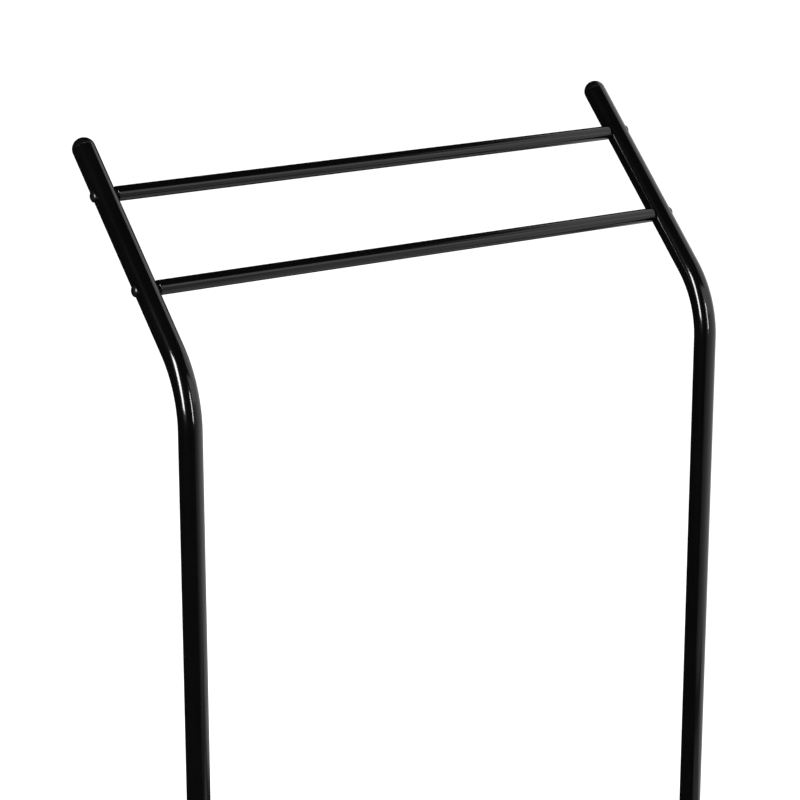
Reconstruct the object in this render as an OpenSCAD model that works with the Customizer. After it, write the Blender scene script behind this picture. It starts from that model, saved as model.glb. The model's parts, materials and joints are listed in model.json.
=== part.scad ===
// Free-standing garment rail. Two tube uprights stand on T-shaped feet and lean
// back above one bend; two hanging rails join the leaning tops and two base
// rails join the feet. The uprights part in the middle and lift off the feet.
// Millimetres, +Z up, -Y is the front, origin at the centre of the footprint.

/* [Overall size] */
// Height from the floor to the top of the leaning ends
rail_height = 1500; // [1250:10:1800]
// Distance between the axes of the two uprights
upright_spacing = 675; // [500:5:850]

/* [Tubes] */
// Outer diameter of the upright and foot tubes
tube_d = 25; // [22:0.5:30]
// Wall of the upright and foot tubes
tube_wall = 1.2; // [1:0.1:1.5]
// Outer diameter of the four cross rails
rail_d = 16; // [13:0.1:20]
// Wall of the cross rails
rail_wall = 1; // [0.8:0.1:1.5]

/* [Leaning tops] */
// Angle between the leaning top and the vertical
lean_angle = 45; // [35:1:54]
// Radius of the bend, at the tube's axis
bend_r = 110; // [80:1:140]
// Length of the lean, from the corner of the bend to the centre of the end dome
lean_len = 297; // [250:1:360]
// Distance from the centre of the end dome down to the upper hanging rail
upper_rail_drop = 59; // [40:1:80]
// Distance between the two hanging rails, along the lean
hanging_rail_pitch = 118; // [90:1:142]

/* [Upright joints] */
// Height of the seam between the lower and upper halves of an upright
splice_height = 620; // [500:5:750]
// Length of the sleeve inside each tube joint
sleeve_len = 100; // [80:1:120]
// Wall of the sleeves
sleeve_wall = 1.5; // [1:0.1:2.5]
// Distance from a seam to the screws above and below it
sleeve_screw_off = 25; // [18:1:32]

/* [Feet] */
// Distance from the upright's axis forward to the centre of the foot's end dome
foot_front = 170; // [150:1:220]
// Distance from the upright's axis back to the centre of the foot's end dome
foot_rear = 290; // [240:1:350]
// Height of the stub above the foot's axis
stub_len = 80; // [72:1:110]
// Distance from the upright's axis forward to the front base rail
front_base_rail_at = 90; // [60:1:110]
// Distance from the upright's axis back to the rear base rail
rear_base_rail_at = 150; // [100:1:190]
// Distance from a foot's end dome centre in to its levelling foot
leveller_inset = 30; // [28:1:40]

/* [End caps] */
// Length of the skirt that plugs a tube end
cap_skirt_len = 15; // [10:1:20]
// Wall of the skirt
cap_skirt_wall = 1.5; // [1:0.1:2.5]
// Width of the bevel where a cap meets its tube
cap_bevel = 0.4; // [0.2:0.1:0.8]

/* [Bolts] */
// Nominal diameter of the bolts and screws
bolt_d = 6; // [5:0.5:7]
// Diameter of the domed heads
bolt_head_d = 12.4; // [10:0.1:14]
// Height of the domed heads
bolt_head_h = 3.6; // [3:0.1:4.4]
// Height of the straight rim under the dome
bolt_rim_h = 1; // [0.6:0.1:1.4]
// Distance across the flats of the hex socket
socket_af = 4; // [3:0.5:5]
// Depth of the hex socket
socket_depth = 2.2; // [1.5:0.1:2.6]
// Length of thread that a rail bolt holds in its insert
bolt_grip = 12; // [8:0.5:15]
// Length of a screw's shank in the upright joints
sleeve_screw_len = 8; // [6:0.5:8]
// Length of the threaded inserts in the rail ends
insert_len = 18; // [17:0.5:24]

/* [Levelling feet] */
// Diameter of the plastic pad
pad_d = 36; // [30:1:44]
// Height of the plastic pad
pad_h = 8; // [7:0.5:10]
// Diameter of the threaded stem
stem_d = 8; // [6:0.5:9.5]
// Height of the hexagon that turns the stem
hex_h = 5; // [4:0.5:6]
// Distance across the flats of that hexagon
hex_af = 13; // [12:0.5:16]
// Reach of the stem above the top of its bush's flange
stem_reach = 18; // [15:0.5:19]
// Outer diameter of the welded bush
bush_d = 12; // [11.5:0.1:14]
// Depth of the bush above the foot's underside
bush_len = 13; // [10:0.5:15]

/* [Hidden] */
$fn = 96;

// Clearances
seat_gap = 0.05;        // between a seated piece and the round tube it touches
rail_gap = 0.1;         // between a rail's end and the tube beside it
fit_gap = 0.05;         // radial, of plugs, threads and running fits
sleeve_gap = 0.1;       // radial, of a sleeve that slides in a tube
bolt_hole_gap = 0.2;    // radial, of a bolt in a drilled tube
stop_gap = 0.3;         // between the faces that stop a levelling foot
bend_draw = 0.02;       // how much the bend draws the tube's radius in

// Smaller details
rail_chamfer = 0.4;
insert_recess = 1;
boss_d = 10;
boss_h = 4;
bush_flange_d = 16;
bush_flange_h = 1.5;
stem_head_d = 14;
stem_head_h = 3;
stem_tip = 1;
pad_floor = 2;
pad_bevel = 2;
cut = 1;                // how far a cutter runs past the face it opens

// Radii and lengths worked out from the sizes above
tube_r = tube_d / 2;
bore_r = tube_r - tube_wall;
rail_r = rail_d / 2;
rail_bore_r = rail_r - rail_wall;
rail_len = upright_spacing - tube_d - 2 * rail_gap;
sleeve_r = bore_r - sleeve_gap;
bolt_r = bolt_d / 2;
bolt_len = tube_d + seat_gap + rail_gap + insert_recess + bolt_grip;
pad_cavity_h = stem_head_h + 2 * fit_gap;

// Heights of the levelling foot's faces, then of the foot and the bend
hex_z = pad_h + stop_gap;
bush_z = hex_z + hex_h + stop_gap;
foot_underside_z = bush_z + bush_flange_h + seat_gap;
foot_z = foot_underside_z + tube_r;
stub_top_z = foot_z + stub_len;
cap_at = lean_len + seat_gap;
bend_corner_z = rail_height - tube_r - cap_at * cos(lean_angle);
bend_setback = bend_r * tan(lean_angle / 2);

// Places along Y: the footprint's centre is at 0
rear_reach = max(foot_rear, lean_len * sin(lean_angle));
upright_y = (foot_front - rear_reach) / 2;
front_leveller_y = upright_y - foot_front + leveller_inset;
rear_leveller_y = upright_y + foot_rear - leveller_inset;
base_rail_ys = [upright_y - front_base_rail_at, upright_y + rear_base_rail_at];

// Distances of the two hanging rails along the lean
upper_rail_at = lean_len - upper_rail_drop;
lower_rail_at = upper_rail_at - hanging_rail_pitch;
hanging_rail_ats = [lower_rail_at, upper_rail_at];

LEFT = -1;
RIGHT = 1;
SIDES = [LEFT, RIGHT];

coat = "#17181a";
zinc = "#a9adb1";
plastic = "#1c1c1d";

// ---- placing ----

// Puts children on the vertical axis of one upright
module at_upright(side) {
    translate([side * upright_spacing / 2, upright_y, 0]) children();
}

// Puts children on the lean, with +Z along it and +X still sideways
module on_lean(at) {
    translate([0, 0, bend_corner_z])
        rotate([-lean_angle, 0, 0])
            translate([0, 0, at]) children();
}

// Puts children at a hanging rail's axis on an upright's lean
module at_hanging_rail(at) {
    translate([0, upright_y, 0]) on_lean(at) children();
}

// Turns children so that +Z points away from the middle of the rail
module facing_out(side) {
    rotate([0, side * 90, 0]) children();
}

// ---- shared shapes ----

module pipe(outer_r, inner_r, length) {
    difference() {
        cylinder(r = outer_r, h = length);
        translate([0, 0, -cut]) cylinder(r = inner_r, h = length + 2 * cut);
    }
}

// A rod that rises from bottom_z, bends back and ends on the lean at end_at. Its
// three stretches share the frame of the bend's centre, so that they join exactly.
module bent_rod(r, bottom_z, end_at) {
    bend_start_z = bend_corner_z - bend_setback;
    translate([0, bend_r, bend_start_z])
        rotate([90, 0, -90]) {
            translate([bend_r, 0, 0])
                rotate([90, 0, 0]) cylinder(r = r, h = bend_start_z - bottom_z);
            rotate_extrude(angle = lean_angle)
                translate([bend_r, 0]) circle(r = r - bend_draw);
            rotate([0, 0, lean_angle])
                translate([bend_r, 0, 0])
                    rotate([-90, 0, 0]) cylinder(r = r, h = end_at - bend_setback);
        }
}

// A drilling along X through a tube at the origin
module cross_hole() {
    hole_len = tube_d + 2 * cut;
    rotate([0, 90, 0])
        cylinder(r = bolt_r + bolt_hole_gap, h = hole_len, center = true);
}

// A drilling from the rear (+Y) into the near wall only
module rear_hole() {
    rotate([-90, 0, 0]) cylinder(r = bolt_r + bolt_hole_gap, h = tube_r + cut);
}

// A domed hex-socket bolt: shank along -Z from the underside of its head
module domed_bolt(shank_len) {
    dome_h = bolt_head_h - bolt_rim_h;
    dome_r = (pow(bolt_head_d / 2, 2) + pow(dome_h, 2)) / (2 * dome_h);
    difference() {
        union() {
            translate([0, 0, -shank_len]) cylinder(r = bolt_r, h = shank_len + cut / 2);
            intersection() {
                cylinder(r = bolt_head_d / 2, h = bolt_head_h);
                translate([0, 0, bolt_head_h - dome_r]) sphere(r = dome_r);
            }
        }
        translate([0, 0, bolt_head_h - socket_depth])
            cylinder(d = socket_af / cos(30), h = socket_depth + cut, $fn = 6);
    }
}

// ---- uprights ----

module upper_upright(side) {
    color(coat)
        at_upright(side)
            difference() {
                bent_rod(tube_r, splice_height, lean_len);
                bent_rod(bore_r, splice_height - cut, lean_len + cut);
                for (at = hanging_rail_ats) on_lean(at) cross_hole();
                translate([0, 0, splice_height + sleeve_screw_off]) rear_hole();
            }
}

module lower_upright(side) {
    color(coat)
        at_upright(side)
            difference() {
                translate([0, 0, stub_top_z])
                    pipe(tube_r, bore_r, splice_height - stub_top_z);
                translate([0, 0, stub_top_z + sleeve_screw_off]) rear_hole();
                translate([0, 0, splice_height - sleeve_screw_off]) rear_hole();
            }
}

module left_upper_upright() { upper_upright(LEFT); }
module right_upper_upright() { upper_upright(RIGHT); }
module left_lower_upright() { lower_upright(LEFT); }
module right_lower_upright() { lower_upright(RIGHT); }

// ---- feet ----

// A rod along the foot's axis, grown by extra at both ends
module foot_rod(r, extra) {
    translate([0, -foot_front - extra, foot_z])
        rotate([-90, 0, 0])
            cylinder(r = r, h = foot_front + foot_rear + 2 * extra);
}

// The foot tube with the stub welded upright on it
module foot(side) {
    color(coat)
        at_upright(side)
            difference() {
                union() {
                    foot_rod(tube_r, 0);
                    translate([0, 0, foot_z]) cylinder(r = tube_r, h = stub_len);
                }
                foot_rod(bore_r, cut);
                difference() {
                    translate([0, 0, foot_z]) cylinder(r = bore_r, h = stub_len + cut);
                    foot_rod(tube_r, cut);
                }
                for (y = base_rail_ys)
                    translate([0, y - upright_y, foot_z]) cross_hole();
                for (y = [front_leveller_y, rear_leveller_y])
                    translate([0, y - upright_y, foot_underside_z - cut])
                        cylinder(r = bush_d / 2 + fit_gap, h = tube_r);
                translate([0, 0, stub_top_z - sleeve_screw_off]) rear_hole();
            }
}

module left_foot() { foot(LEFT); }
module right_foot() { foot(RIGHT); }

// ---- sleeves inside the tube joints ----

// A sleeve across a seam, with a threaded boss behind each screw
module joint_sleeve(side, seam_z) {
    sleeve_bore_r = sleeve_r - sleeve_wall;
    color(zinc)
        at_upright(side)
            difference() {
                union() {
                    translate([0, 0, seam_z - sleeve_len / 2])
                        pipe(sleeve_r, sleeve_bore_r, sleeve_len);
                    intersection() {
                        for (off = [-sleeve_screw_off, sleeve_screw_off])
                            translate([0, sleeve_bore_r - boss_h, seam_z + off])
                                rotate([-90, 0, 0]) cylinder(r = boss_d / 2, h = tube_r);
                        translate([0, 0, seam_z - sleeve_len / 2])
                            cylinder(r = sleeve_r - sleeve_wall / 2, h = sleeve_len);
                    }
                }
                for (off = [-sleeve_screw_off, sleeve_screw_off])
                    translate([0, 0, seam_z + off])
                        rotate([-90, 0, 0]) cylinder(r = bolt_r + fit_gap, h = tube_r);
            }
}

module left_splice_sleeve() { joint_sleeve(LEFT, splice_height); }
module right_splice_sleeve() { joint_sleeve(RIGHT, splice_height); }
module left_foot_sleeve() { joint_sleeve(LEFT, stub_top_z); }
module right_foot_sleeve() { joint_sleeve(RIGHT, stub_top_z); }

// ---- cross rails ----

// A straight rail along X, with its outer edges broken at both ends
module cross_rail() {
    color(coat)
        rotate([0, 90, 0])
            translate([0, 0, -rail_len / 2])
                difference() {
                    union() {
                        cylinder(r1 = rail_r - rail_chamfer, r2 = rail_r, h = rail_chamfer);
                        translate([0, 0, rail_chamfer])
                            cylinder(r = rail_r, h = rail_len - 2 * rail_chamfer);
                        translate([0, 0, rail_len - rail_chamfer])
                            cylinder(r1 = rail_r, r2 = rail_r - rail_chamfer, h = rail_chamfer);
                    }
                    translate([0, 0, -cut])
                        cylinder(r = rail_bore_r, h = rail_len + 2 * cut);
                }
}

module upper_hanging_rail() { at_hanging_rail(upper_rail_at) cross_rail(); }
module lower_hanging_rail() { at_hanging_rail(lower_rail_at) cross_rail(); }
module front_base_rail() { translate([0, base_rail_ys[0], foot_z]) cross_rail(); }
module rear_base_rail() { translate([0, base_rail_ys[1], foot_z]) cross_rail(); }

// ---- rail fasteners ----

// The threaded inserts at both ends of one rail
module rail_inserts() {
    color(zinc)
        for (side = SIDES)
            facing_out(side)
                translate([0, 0, rail_len / 2 - insert_recess - insert_len])
                    pipe(rail_bore_r - fit_gap, bolt_r + fit_gap, insert_len);
}

// The bolts that hold both ends of one rail, from outside the uprights
module rail_bolts() {
    color(coat)
        for (side = SIDES)
            facing_out(side)
                translate([0, 0, upright_spacing / 2 + tube_r + seat_gap])
                    domed_bolt(bolt_len);
}

module hanging_rail_inserts() {
    for (at = hanging_rail_ats) at_hanging_rail(at) rail_inserts();
}

module base_rail_inserts() {
    for (y = base_rail_ys) translate([0, y, foot_z]) rail_inserts();
}

module hanging_rail_bolts() {
    for (at = hanging_rail_ats) at_hanging_rail(at) rail_bolts();
}

module base_rail_bolts() {
    for (y = base_rail_ys) translate([0, y, foot_z]) rail_bolts();
}

// The two screws at one seam of each upright, on the rear of the tubes
module seam_screws(seam_z) {
    color(coat)
        for (side = SIDES, off = [-sleeve_screw_off, sleeve_screw_off])
            at_upright(side)
                translate([0, tube_r + seat_gap, seam_z + off])
                    rotate([-90, 0, 0]) domed_bolt(sleeve_screw_len);
}

module splice_screws() { seam_screws(splice_height); }
module foot_sleeve_screws() { seam_screws(stub_top_z); }

// ---- end caps ----

// A domed plug: the dome's flat face is at the origin and its skirt runs along -Z
module domed_cap() {
    color(plastic)
        difference() {
            union() {
                intersection() {
                    sphere(r = tube_r);
                    union() {
                        cylinder(r1 = tube_r - cap_bevel, r2 = tube_r, h = cap_bevel);
                        translate([0, 0, cap_bevel]) cylinder(r = tube_r, h = tube_r);
                    }
                }
                translate([0, 0, -cap_skirt_len])
                    cylinder(r = bore_r - fit_gap, h = cap_skirt_len + cap_bevel);
            }
            translate([0, 0, -cap_skirt_len - cut])
                cylinder(r = bore_r - fit_gap - cap_skirt_wall, h = cap_skirt_len + cut);
        }
}

module top_cap(side) { at_upright(side) on_lean(cap_at) domed_cap(); }

module front_foot_cap(side) {
    at_upright(side)
        translate([0, -foot_front - seat_gap, foot_z])
            rotate([90, 0, 0]) domed_cap();
}

module rear_foot_cap(side) {
    at_upright(side)
        translate([0, foot_rear + seat_gap, foot_z])
            rotate([-90, 0, 0]) domed_cap();
}

module left_top_cap() { top_cap(LEFT); }
module right_top_cap() { top_cap(RIGHT); }
module left_front_foot_cap() { front_foot_cap(LEFT); }
module left_rear_foot_cap() { rear_foot_cap(LEFT); }
module right_front_foot_cap() { front_foot_cap(RIGHT); }
module right_rear_foot_cap() { rear_foot_cap(RIGHT); }

// ---- levelling feet ----

module at_leveller(side, y) {
    translate([side * upright_spacing / 2, y, 0]) children();
}

// The flanged bushes welded into the undersides of the feet
module levelling_bushes() {
    color(zinc)
        for (side = SIDES, y = [front_leveller_y, rear_leveller_y])
            at_leveller(side, y)
                translate([0, 0, bush_z])
                    difference() {
                        union() {
                            cylinder(r = bush_flange_d / 2, h = bush_flange_h);
                            cylinder(r = bush_d / 2, h = bush_flange_h + bush_len);
                        }
                        translate([0, 0, -cut])
                            cylinder(r = stem_d / 2 + fit_gap,
                                     h = bush_len + bush_flange_h + 2 * cut);
                    }
}

// The pad stands on the floor and holds the stem's round head in its cavity
module levelling_pad(side, y) {
    color(plastic)
        at_leveller(side, y)
            difference() {
                union() {
                    cylinder(r = pad_d / 2, h = pad_h - pad_bevel);
                    translate([0, 0, pad_h - pad_bevel])
                        cylinder(r1 = pad_d / 2, r2 = pad_d / 2 - pad_bevel, h = pad_bevel);
                }
                translate([0, 0, pad_floor])
                    cylinder(r = stem_head_d / 2 + fit_gap, h = pad_cavity_h);
                translate([0, 0, pad_floor + pad_cavity_h / 2])
                    cylinder(r = stem_d / 2 + fit_gap, h = pad_h);
            }
}

// The stem: round head in the pad, hexagon above it, thread up into the bush
module levelling_stem(side, y) {
    shank_top = bush_z + bush_flange_h + stem_reach;
    head_z = pad_floor + fit_gap;
    color(zinc)
        at_leveller(side, y) {
            translate([0, 0, head_z]) cylinder(r = stem_head_d / 2, h = stem_head_h);
            translate([0, 0, head_z])
                cylinder(r = stem_d / 2, h = shank_top - stem_tip - head_z);
            translate([0, 0, shank_top - stem_tip])
                cylinder(r1 = stem_d / 2, r2 = stem_d / 2 - stem_tip, h = stem_tip);
            translate([0, 0, hex_z]) cylinder(d = hex_af / cos(30), h = hex_h, $fn = 6);
        }
}

module left_front_pad() { levelling_pad(LEFT, front_leveller_y); }
module left_rear_pad() { levelling_pad(LEFT, rear_leveller_y); }
module right_front_pad() { levelling_pad(RIGHT, front_leveller_y); }
module right_rear_pad() { levelling_pad(RIGHT, rear_leveller_y); }
module left_front_stem() { levelling_stem(LEFT, front_leveller_y); }
module left_rear_stem() { levelling_stem(LEFT, rear_leveller_y); }
module right_front_stem() { levelling_stem(RIGHT, front_leveller_y); }
module right_rear_stem() { levelling_stem(RIGHT, rear_leveller_y); }

// ---- one line for each node ----

left_upper_upright();
right_upper_upright();
left_lower_upright();
right_lower_upright();
left_foot();
right_foot();
left_splice_sleeve();
right_splice_sleeve();
left_foot_sleeve();
right_foot_sleeve();
upper_hanging_rail();
lower_hanging_rail();
front_base_rail();
rear_base_rail();
left_top_cap();
right_top_cap();
left_front_foot_cap();
left_rear_foot_cap();
right_front_foot_cap();
right_rear_foot_cap();
hanging_rail_inserts();
base_rail_inserts();
hanging_rail_bolts();
base_rail_bolts();
splice_screws();
foot_sleeve_screws();
levelling_bushes();
left_front_pad();
left_rear_pad();
right_front_pad();
right_rear_pad();
left_front_stem();
left_rear_stem();
right_front_stem();
right_rear_stem();
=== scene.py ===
"""Looks of a free-standing garment rail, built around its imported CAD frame.

Metres throughout, in the frame of the CAD: +Z up, -Y the front, the origin on the floor in the
middle of the footprint. Each sub-assembly is a class that takes its places from the CAD boxes,
builds its meshes and dresses them in a finish. The studio around them comes last.
"""

import json
import logging
import math
from abc import ABC, abstractmethod
from collections.abc import Callable, Iterator, Sequence
from dataclasses import dataclass
from enum import Enum

import bmesh
import bpy
from mathutils import Matrix, Vector

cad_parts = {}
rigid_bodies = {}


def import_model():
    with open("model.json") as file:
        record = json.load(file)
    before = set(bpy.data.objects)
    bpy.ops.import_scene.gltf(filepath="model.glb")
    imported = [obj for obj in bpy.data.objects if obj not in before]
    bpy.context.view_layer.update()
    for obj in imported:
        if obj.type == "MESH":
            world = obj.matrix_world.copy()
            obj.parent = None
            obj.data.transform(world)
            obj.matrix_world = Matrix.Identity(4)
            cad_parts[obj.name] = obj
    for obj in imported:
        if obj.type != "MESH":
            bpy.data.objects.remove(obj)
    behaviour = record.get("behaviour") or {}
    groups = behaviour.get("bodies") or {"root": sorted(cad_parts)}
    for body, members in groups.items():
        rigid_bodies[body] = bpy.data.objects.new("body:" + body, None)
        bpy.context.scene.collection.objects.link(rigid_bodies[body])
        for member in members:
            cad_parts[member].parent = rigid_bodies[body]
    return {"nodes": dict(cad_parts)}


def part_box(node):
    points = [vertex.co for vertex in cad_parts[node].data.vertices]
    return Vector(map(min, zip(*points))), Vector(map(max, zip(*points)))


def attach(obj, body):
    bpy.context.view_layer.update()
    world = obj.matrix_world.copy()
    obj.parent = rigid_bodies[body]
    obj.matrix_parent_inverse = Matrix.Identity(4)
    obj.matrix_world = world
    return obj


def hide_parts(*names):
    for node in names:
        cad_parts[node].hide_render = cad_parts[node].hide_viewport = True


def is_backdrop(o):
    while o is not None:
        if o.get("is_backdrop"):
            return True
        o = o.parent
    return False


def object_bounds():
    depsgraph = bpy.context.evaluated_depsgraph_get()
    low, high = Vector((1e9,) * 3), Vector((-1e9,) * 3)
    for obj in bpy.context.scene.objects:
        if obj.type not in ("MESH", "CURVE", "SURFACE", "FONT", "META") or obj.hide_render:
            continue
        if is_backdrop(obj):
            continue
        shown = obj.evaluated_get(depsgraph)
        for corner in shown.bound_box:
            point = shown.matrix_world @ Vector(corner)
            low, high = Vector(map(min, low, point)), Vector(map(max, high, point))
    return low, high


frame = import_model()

CAD_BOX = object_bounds()
MM = 0.001
UP = Vector((0, 0, 1))
ROUND_SEGMENTS = 64
RING_POINTS = 48
CREASE_ANGLE = math.radians(38)
# points closer than this are one point, as where a turned outline meets the axis
MERGE_DISTANCE = 1e-6
# the slivers that a cut leaves are thinner than this
SLIVER_WIDTH = 2e-6
# a flat is held straight at least this far from a rounded corner
HOLD = 0.5 * MM

log = logging.getLogger("garment_rail")

Mesh = bpy.types.Mesh
Piece = bpy.types.Object
Socket = bpy.types.NodeSocket
Tree = bpy.types.NodeTree
Outline = list[tuple[float, float]]
Inputs = dict[str | int, object]
Spot = tuple[Vector, Vector]


class Side(Enum):
    """The two ends of the rail, with the sign of X on each."""

    LEFT = -1
    RIGHT = 1

    @property
    def word(self) -> str:
        """Return the word that node and piece names use."""
        return self.name.lower()


class End(Enum):
    """The two ends of a foot, with the sign of Y on each."""

    FRONT = -1
    REAR = 1

    @property
    def word(self) -> str:
        """Return the word that node and piece names use."""
        return self.name.lower()


# ---- node trees ----


def srgb(code: str) -> tuple[float, float, float, float]:
    """Turn an sRGB hex colour into linear light.

    Args:
        code: A colour such as "#1a2b3c".

    Returns:
        Linear red, green and blue, and an alpha of one.
    """
    values = [int(code[i : i + 2], 16) / 255 for i in (1, 3, 5)]
    linear = [v / 12.92 if v <= 0.04045 else ((v + 0.055) / 1.055) ** 2.4 for v in values]
    return (*linear, 1.0)


def add_node(tree: Tree, kind: str, inputs: Inputs | None = None, **settings: object) -> bpy.types.Node:
    """Add a node with its settings, and fill its inputs.

    Args:
        tree: The tree that gets the node.
        kind: The node's type name.
        inputs: Socket name or number to a value, or to an output socket to link.
        **settings: The node's own properties.

    Returns:
        The new node.
    """
    node = tree.nodes.new(kind)
    for name, value in settings.items():
        setattr(node, name, value)
    for key, value in (inputs or {}).items():
        if isinstance(value, Socket):
            tree.links.new(value, node.inputs[key])
        else:
            node.inputs[key].default_value = value
    return node


# ---- finishes ----


class Texture(Enum):
    """How a grain is drawn."""

    CLOUD = "ShaderNodeTexNoise"
    PITS = "ShaderNodeTexVoronoi"


@dataclass(frozen=True)
class Grain:
    """A pattern with a real grain size.

    Attributes:
        size_mm: Size of its largest grains.
        detail: Number of finer octaves.
        stretch: Factors on the three axes; below one draws the grains out along that axis.
        texture: How it is drawn.
    """

    size_mm: float
    detail: float = 2.0
    stretch: tuple[float, float, float] = (1, 1, 1)
    texture: Texture = Texture.CLOUD

    def draw(self, tree: Tree, place: Socket) -> Socket:
        """Add the pattern to a tree.

        Args:
            tree: The material's tree.
            place: The coordinates that it reads.

        Returns:
            Its value, from 0 to 1.
        """
        mapping = add_node(tree, "ShaderNodeMapping", {"Vector": place, "Scale": self.stretch})
        scale = 1 / (self.size_mm * MM)
        inputs = {"Vector": mapping.outputs["Vector"], "Scale": scale, "Detail": self.detail}
        return add_node(tree, self.texture.value, inputs).outputs[0]


@dataclass(frozen=True)
class Finish:
    """A surface finish: two close colours, a range of gloss, and a fine relief.

    Attributes:
        name: The real finish.
        slot: The CAD's material slot.
        dark: Its darker colour.
        light: Its lighter colour.
        smooth: Its least roughness.
        rough: Its greatest roughness.
        drift: The slow pattern that mixes the two colours and the two roughnesses.
        grain: The relief of the surface.
        relief_mm: The depth of that relief.
        metallic: One for bare metal.
        ior: Index of refraction; a metal keeps the default.
    """

    name: str
    slot: str
    dark: str
    light: str
    smooth: float
    rough: float
    drift: Grain
    grain: Grain
    relief_mm: float
    metallic: float = 0.0
    ior: float = 1.5

    def material(self) -> bpy.types.Material:
        """Return the finish's material, built on its first use."""
        return bpy.data.materials.get(self.name) or self.build()

    def build(self) -> bpy.types.Material:
        """Build the material's nodes.

        Returns:
            The new material.
        """
        made = bpy.data.materials.new(self.name)
        made.use_nodes = True
        tree = made.node_tree
        tree.nodes.clear()
        place = add_node(tree, "ShaderNodeTexCoord").outputs["Object"]
        cloud = self.drift.draw(tree, place)
        shades = {"Factor": cloud, "A": srgb(self.dark), "B": srgb(self.light)}
        colour = add_node(tree, "ShaderNodeMix", shades, data_type="RGBA")
        range_of_gloss = {"Value": cloud, "To Min": self.smooth, "To Max": self.rough}
        gloss = add_node(tree, "ShaderNodeMapRange", range_of_gloss)
        height = self.grain.draw(tree, place)
        depth = {"Height": height, "Distance": self.relief_mm * MM, "Strength": 1.0}
        surface = {
            "Base Color": colour.outputs["Result"],
            "Roughness": gloss.outputs["Result"],
            "Metallic": self.metallic,
            "IOR": self.ior,
            "Normal": add_node(tree, "ShaderNodeBump", depth).outputs["Normal"],
        }
        shader = add_node(tree, "ShaderNodeBsdfPrincipled", surface)
        add_node(tree, "ShaderNodeOutputMaterial", {"Surface": shader.outputs["BSDF"]})
        return made


# black polyester powder, baked on: deep and glossy. The gloss drifts along the tubes where the
# powder lay thicker, and a faint orange peel, of waves a few millimetres long, softens edges.
COAT = Finish(
    name="powder_coat_black",
    slot="tube_coat",
    dark="#020202",
    light="#040404",
    smooth=0.11,
    rough=0.15,
    drift=Grain(45.0, detail=3.0),
    grain=Grain(2.4, detail=1.0),
    relief_mm=0.005,
)
# chemically blackened steel, lightly oiled: dark and satin, with blots that the oil leaves. The
# real grain of a formed head is under 0.2 mm, too fine to show, so it is drawn larger.
BLACK_STEEL = Finish(
    name="black_oxide_steel",
    slot="bolt_black",
    dark="#050506",
    light="#0b0b0c",
    smooth=0.16,
    rough=0.24,
    drift=Grain(3.0, detail=4.0),
    grain=Grain(0.6),
    relief_mm=0.01,
)
# black polyethylene from a polished mould: a softer sheen than the coat beside it, with flow
# marks along the part and the faint dimples of a part that shrank as it cooled.
CAP_PLASTIC = Finish(
    name="moulded_polyethylene",
    slot="cap_plastic",
    dark="#030304",
    light="#060607",
    smooth=0.2,
    rough=0.28,
    drift=Grain(9.0, stretch=(1, 1, 0.4)),
    grain=Grain(0.9),
    relief_mm=0.008,
    ior=1.51,
)
# black nylon from a spark-eroded mould: matt, with an even, slightly sparkling grain. The real
# pits are about 0.1 mm across, too fine to show, so they are drawn larger.
PAD_PLASTIC = Finish(
    name="sparked_nylon",
    slot="pad_plastic",
    dark="#101011",
    light="#17171a",
    smooth=0.5,
    rough=0.62,
    drift=Grain(1.5, detail=3.0),
    grain=Grain(0.5, detail=0.0, texture=Texture.PITS),
    relief_mm=0.05,
    ior=1.53,
)
# bright zinc on turned steel: silvery and slightly blotched by the passivation, with rings from
# the lathe. Its real feed is near 0.1 mm, too fine to show, so the rings are drawn wider.
ZINC = Finish(
    name="zinc_plate",
    slot="zinc_plate",
    dark="#9fa4aa",
    light="#c3c6c9",
    smooth=0.24,
    rough=0.38,
    drift=Grain(4.0, detail=3.0),
    grain=Grain(0.5, stretch=(0.15, 0.15, 1)),
    relief_mm=0.004,
    metallic=1.0,
)


# ---- outlines of round parts ----
# An outline is a list of (radius, height) points, clockwise with the radius to the right, so
# that the surface it makes faces outwards.


def soften(
    corners: Sequence[tuple[float, float]], radii: Sequence[float], closed: bool = True, steps: int = 5
) -> Outline:
    """Round an outline's corners, and hold the flats beside each arc straight.

    Args:
        corners: The sharp outline.
        radii: One radius for each corner; zero leaves it sharp.
        closed: Whether the last corner joins the first.
        steps: Number of flats in each arc.

    Returns:
        The outline with arcs, and with a point a little way along each neighbouring flat.
    """
    points = [Vector(c) for c in corners]
    made: list[Vector] = []
    for i, (corner, radius) in enumerate(zip(points, radii)):
        inside = closed or 0 < i < len(points) - 1
        if radius <= 0 or not inside:
            made.append(corner)
            continue
        to_last = points[i - 1] - corner
        to_next = points[(i + 1) % len(points)] - corner
        half = to_last.angle(to_next) / 2
        reach = radius / math.tan(half)
        bisector = (to_last.normalized() + to_next.normalized()).normalized()
        pivot = corner + bisector * radius / math.sin(half)
        first = corner + to_last.normalized() * reach - pivot
        last = corner + to_next.normalized() * reach - pivot
        turn = math.pi - 2 * half
        hold = reach + max(radius, HOLD)
        if to_last.length > 2 * hold:
            made.append(corner + to_last.normalized() * hold)
        for step in range(steps + 1):
            share = step / steps
            weights = math.sin((1 - share) * turn), math.sin(share * turn)
            made.append(pivot + (first * weights[0] + last * weights[1]) / math.sin(turn))
        if to_next.length > 2 * hold:
            made.append(corner + to_next.normalized() * hold)
    return [(p.x, p.y) for p in made]


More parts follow.
